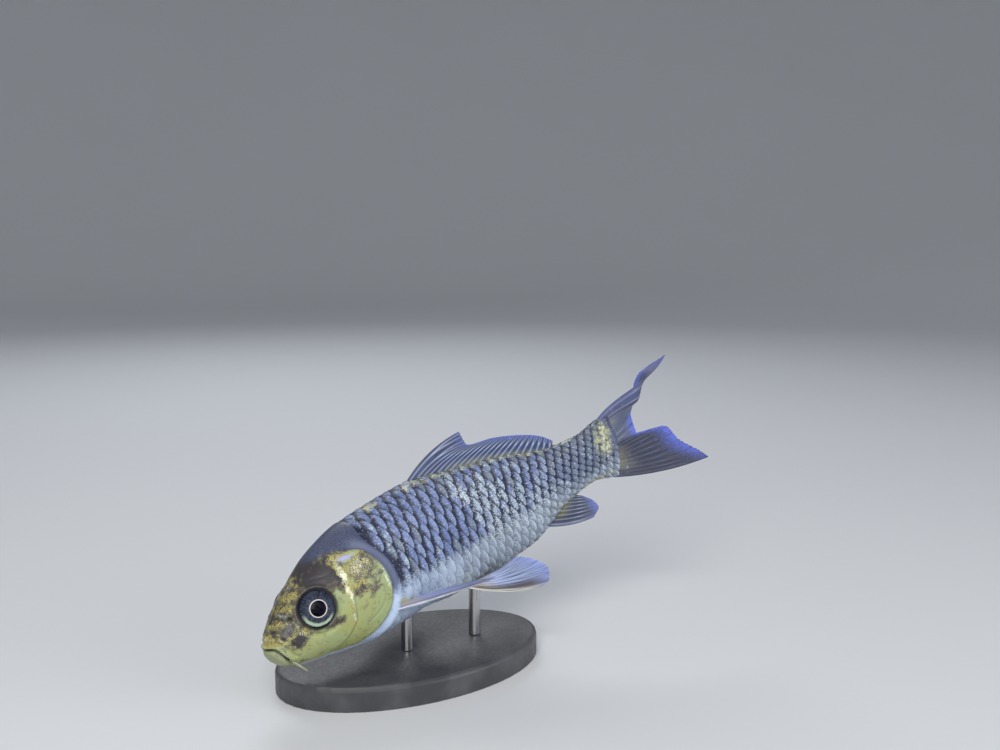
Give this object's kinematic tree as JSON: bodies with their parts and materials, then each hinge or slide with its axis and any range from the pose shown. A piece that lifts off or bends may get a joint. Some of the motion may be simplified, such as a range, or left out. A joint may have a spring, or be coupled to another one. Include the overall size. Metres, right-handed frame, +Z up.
{
  "type": "koi carp museum model on a display stand",
  "caption": "Still life-size model of a young koi carp, diving with its tail swung to one side, held over a flat oval base by upright rods.",
  "frame": {"origin": "centre of the flat foot of the display stand, on the surface it stands on", "axes": "+Z up; +X from the fish's snout towards its tail, along the longest side; -Y is the fish's left side"},
  "size_m": [0.1697, 0.0714, 0.1015],
  "materials": {
    "head_skin": "wet-looking olive gold skin with charcoal patches",
    "scaled_skin": "glossy blue-grey scales, each dark at its root, over a pale belly",
    "fin": "thin grey-violet fin skin with rays",
    "eye": "black pupil with a pale ring and a dark iris under a clear cornea",
    "stand_base": "satin charcoal",
    "stand_rod": "brushed steel"
  },
  "bodies": {
    "root": {"head": "head_skin", "jaw": "head_skin", "gill_cover_left": "head_skin", "gill_cover_right": "head_skin", "eye_left": "eye", "eye_right": "eye", "barbel_upper_left": "head_skin", "barbel_upper_right": "head_skin", "barbel_lower_left": "head_skin", "barbel_lower_right": "head_skin", "trunk_front": "scaled_skin", "trunk_rear": "scaled_skin", "tail_stalk": "scaled_skin", "dorsal_fin": "fin", "anal_fin": "fin", "tail_fin_upper": "fin", "tail_fin_lower": "fin", "pectoral_fin_left": "fin", "pectoral_fin_right": "fin", "pelvic_fin_left": "fin", "pelvic_fin_right": "fin", "stand_base": "stand_base", "stand_rod_front": "stand_rod", "stand_rod_rear": "stand_rod"}
  },
  "joints": []
}
